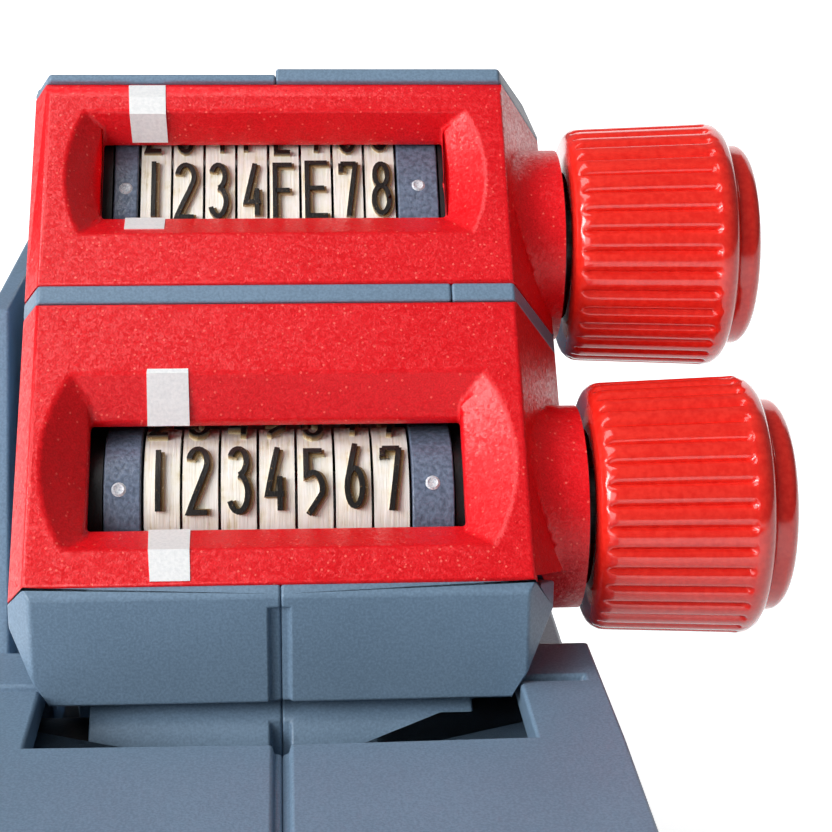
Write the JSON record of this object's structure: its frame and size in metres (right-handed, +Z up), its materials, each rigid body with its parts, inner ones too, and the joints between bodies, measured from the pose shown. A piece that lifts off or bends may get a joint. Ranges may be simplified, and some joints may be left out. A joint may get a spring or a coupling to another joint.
{
  "type": "price labeller",
  "caption": "Hand-held price labeller: a squeeze lever swings a print head with rows of type bands set by ribbed knobs, over a platen fed from a label roll.",
  "frame": {"origin": "centre of the base plate's bottom face", "axes": "+X to the knobs, +Y forward to the nose, +Z up from the base plate"},
  "size_m": [0.0614, 0.23, 0.1095],
  "materials": {
    "gray_plastic": "fine spark-eroded",
    "red_plastic": "fine spark-eroded",
    "red_gloss": "gloss",
    "cream_rubber": "matte",
    "slate_plastic": "satin",
    "black_plastic": "satin",
    "black_rubber": "matte",
    "steel": "ground",
    "paper": "uncoated paper",
    "card": "raw card"
  },
  "bodies": {
    "body": {"body_left": "gray_plastic", "body_right": "gray_plastic", "body_screws": "steel", "base_plate": "gray_plastic", "base_screws": "steel", "lever_pin": "steel", "lever_spring": "steel", "head_axle": "steel", "platen": "steel", "platen_pad": "black_rubber", "guide_axle": "steel", "ink_pivots": "steel", "roll_hubs": "slate_plastic", "roll_cover_pin": "steel", "feed_axle": "steel", "peel_plate": "steel", "applicator_axle": "steel"},
    "lever": {"hand_lever": "gray_plastic", "lever_feed_pin": "steel"},
    "head": {"head_left": "gray_plastic", "head_right": "gray_plastic", "head_screws": "steel", "head_drive_pins": "steel", "side_plates": "gray_plastic", "lower_cover": "red_plastic", "upper_cover": "red_plastic", "lower_end_discs": "slate_plastic", "upper_end_discs": "slate_plastic", "lower_type_bands": "cream_rubber", "upper_type_bands": "cream_rubber", "lower_drive_wheels": "black_plastic", "upper_drive_wheels": "black_plastic", "lower_print_bar": "steel", "upper_print_bar": "steel", "upper_guide_bar": "steel"},
    "lower_wheel": {"lower_first_wheel": "black_plastic"},
    "upper_wheel": {"upper_first_wheel": "black_plastic"},
    "lower_selector": {"lower_index_sleeve": "slate_plastic"},
    "upper_selector": {"upper_index_sleeve": "slate_plastic"},
    "lower_dial": {"lower_shaft": "steel", "lower_knob": "red_gloss", "lower_knob_cap": "red_gloss"},
    "upper_dial": {"upper_shaft": "steel", "upper_knob": "red_gloss", "upper_knob_cap": "red_gloss"},
    "ink_swing": {"ink_arms": "black_plastic", "ink_axle": "steel"},
    "ink_roll": {"ink_roller": "black_rubber"},
    "feed_swing": {"feed_arm": "steel", "feed_pawl": "steel"},
    "feed_drum": {"feed_wheel": "slate_plastic"},
    "roll": {"label_roll": "paper", "roll_core": "card"},
    "roll_lid": {"roll_cover": "gray_plastic"},
    "guide": {"guide_roller": "slate_plastic"},
    "applicator": {"applicator_roller": "black_rubber"}
  },
  "joints": [
    {"name": "lever_squeeze", "type": "hinge", "parent": "body", "child": "lever", "pos_m": [0, -0.06125, 0.04], "axis": [1, 0, 0], "range_deg": [-13, 0], "stiffness_Nm_per_rad": 1.5, "springref_deg": 17.19, "deforming": ["lever_spring"]},
    {"name": "head_stamp", "type": "hinge", "parent": "body", "child": "head", "pos_m": [0, -0.0515, 0.064], "axis": [1, 0, 0], "range_deg": [-19.6, 0]},
    {"name": "ink_lift", "type": "hinge", "parent": "body", "child": "ink_swing", "pos_m": [0, -0.0085, 0.057], "axis": [1, 0, 0], "range_deg": [0, 36.2]},
    {"name": "ink_spin", "type": "hinge", "parent": "ink_swing", "child": "ink_roll", "pos_m": [0, -0.021, 0.0446], "axis": [1, 0, 0], "continuous": true},
    {"name": "feed_rock", "type": "hinge", "parent": "body", "child": "feed_swing", "pos_m": [0, 0.008, 0.014], "axis": [1, 0, 0], "range_deg": [0, 33.6]},
    {"name": "feed_spin", "type": "hinge", "parent": "body", "child": "feed_drum", "pos_m": [0, 0.008, 0.014], "axis": [1, 0, 0], "continuous": true},
    {"name": "roll_spin", "type": "hinge", "parent": "body", "child": "roll", "pos_m": [0, 0.024, 0.0605], "axis": [1, 0, 0], "continuous": true},
    {"name": "lid_open", "type": "hinge", "parent": "body", "child": "roll_lid", "pos_m": [0, 0.04841, 0.07759], "axis": [1, 0, 0], "range_deg": [-100, 0]},
    {"name": "guide_spin", "type": "hinge", "parent": "body", "child": "guide", "pos_m": [0, -0.0415, 0.0355], "axis": [1, 0, 0], "continuous": true},
    {"name": "applicator_spin", "type": "hinge", "parent": "body", "child": "applicator", "pos_m": [0, 0.0445, 0.0135], "axis": [1, 0, 0], "continuous": true},
    {"name": "lower_select", "type": "slide", "parent": "head", "child": "lower_selector", "axis": [1, 0, 0], "range_m": [0, 0.01689]},
    {"name": "lower_turn", "type": "hinge", "parent": "lower_selector", "child": "lower_dial", "pos_m": [0, -0.03982, 0.07818], "axis": [1, 0, 0], "continuous": true},
    {"name": "lower_wheel_turn", "type": "hinge", "parent": "head", "child": "lower_wheel", "pos_m": [0, -0.03982, 0.07818], "axis": [1, 0, 0], "continuous": true},
    {"name": "upper_select", "type": "slide", "parent": "head", "child": "upper_selector", "axis": [1, 0, 0], "range_m": [0, 0.01785]},
    {"name": "upper_turn", "type": "hinge", "parent": "upper_selector", "child": "upper_dial", "pos_m": [0, -0.02306, 0.09494], "axis": [1, 0, 0], "continuous": true},
    {"name": "upper_wheel_turn", "type": "hinge", "parent": "head", "child": "upper_wheel", "pos_m": [0, -0.02306, 0.09494], "axis": [1, 0, 0], "continuous": true}
  ],
  "couplings": [
    {"joint": "head_stamp", "follows": "lever_squeeze", "ratio": 1.5},
    {"joint": "ink_lift", "follows": "lever_squeeze", "ratio": -2.77},
    {"joint": "feed_rock", "follows": "lever_squeeze", "ratio": -2.577},
    {"joint": "lower_wheel_turn", "follows": "lower_turn", "ratio": 1},
    {"joint": "upper_wheel_turn", "follows": "upper_turn", "ratio": 1}
  ]
}
